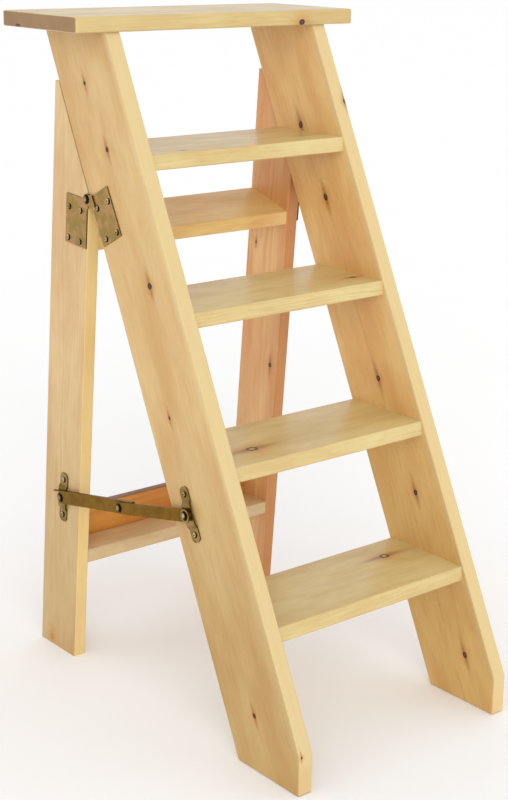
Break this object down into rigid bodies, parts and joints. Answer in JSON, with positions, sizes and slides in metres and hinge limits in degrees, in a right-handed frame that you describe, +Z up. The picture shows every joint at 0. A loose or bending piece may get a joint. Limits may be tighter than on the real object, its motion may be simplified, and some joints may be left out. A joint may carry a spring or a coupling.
{
  "type": "step ladder",
  "caption": "Folding wooden step ladder with broad treads and a top board, a hinged rear frame and a folding metal stay on one side.",
  "frame": {"origin": "on the floor in the middle of the footprint of the opened ladder", "axes": "+Z up; the front of the ladder, where one climbs, faces -Y; +X is on the climber's right"},
  "size_m": [0.575, 0.7276, 1.133],
  "materials": {
    "pine": "clear satin lacquer on knotty pine",
    "dowel": "plain beech, hidden in the joints",
    "bronzed_plate": "yellow-bronzed pressed steel plate, satin with slight tarnish",
    "rivet": "bronzed rivet, satin",
    "screw": "yellow-passivated steel screws, worn bright"
  },
  "bodies": {
    "front_frame": {"front_stile_left": "pine", "front_stile_right": "pine", "tread_1": "pine", "tread_2": "pine", "tread_3": "pine", "tread_4": "pine", "top_board": "pine", "tread_dowels_left": "dowel", "tread_dowels_right": "dowel", "top_board_dowels": "dowel", "hinge_front_leaf_left": "bronzed_plate", "hinge_front_leaf_right": "bronzed_plate", "hinge_rivet_left": "rivet", "hinge_rivet_right": "rivet", "hinge_front_screws_left": "screw", "hinge_front_screws_right": "screw", "stay_front_bracket": "bronzed_plate", "stay_front_bracket_screws": "screw", "stay_front_rivet": "rivet", "stay_front_collar": "bronzed_plate", "stay_front_washer": "bronzed_plate"},
    "rear_frame": {"rear_leg_left": "pine", "rear_leg_right": "pine", "rear_upper_crosspiece": "pine", "rear_lower_batten": "pine", "rear_lower_board": "pine", "crosspiece_dowels_left": "dowel", "crosspiece_dowels_right": "dowel", "hinge_rear_leaf_left": "bronzed_plate", "hinge_rear_leaf_right": "bronzed_plate", "hinge_rear_screws_left": "screw", "hinge_rear_screws_right": "screw", "stay_rear_bracket": "bronzed_plate", "stay_rear_bracket_screws": "screw"},
    "stay_front_arm": {"stay_front_link": "bronzed_plate", "stay_middle_rivet": "rivet"},
    "stay_rear_arm": {"stay_rear_link": "bronzed_plate", "stay_rear_rivet": "rivet"}
  },
  "joints": [
    {"name": "rear_frame_fold", "type": "hinge", "parent": "front_frame", "child": "rear_frame", "pos_m": [0, 0.1854, 0.8384], "axis": [-1, 0, 0], "range_deg": [0, 30]},
    {"name": "stay_front_pivot", "type": "hinge", "parent": "front_frame", "child": "stay_front_arm", "pos_m": [-0.235, -0.0923, 0.3755], "axis": [-1, 0, 0], "range_deg": [-57, 0]},
    {"name": "stay_middle_pivot", "type": "hinge", "parent": "stay_front_arm", "child": "stay_rear_arm", "pos_m": [-0.235, 0.09144, 0.3343], "axis": [-1, 0, 0], "range_deg": [0, 151]}
  ],
  "couplings": [
    {"joint": "stay_front_pivot", "follows": "rear_frame_fold", "ratio": -1.896},
    {"joint": "stay_middle_pivot", "follows": "rear_frame_fold", "ratio": 5.0257}
  ]
}
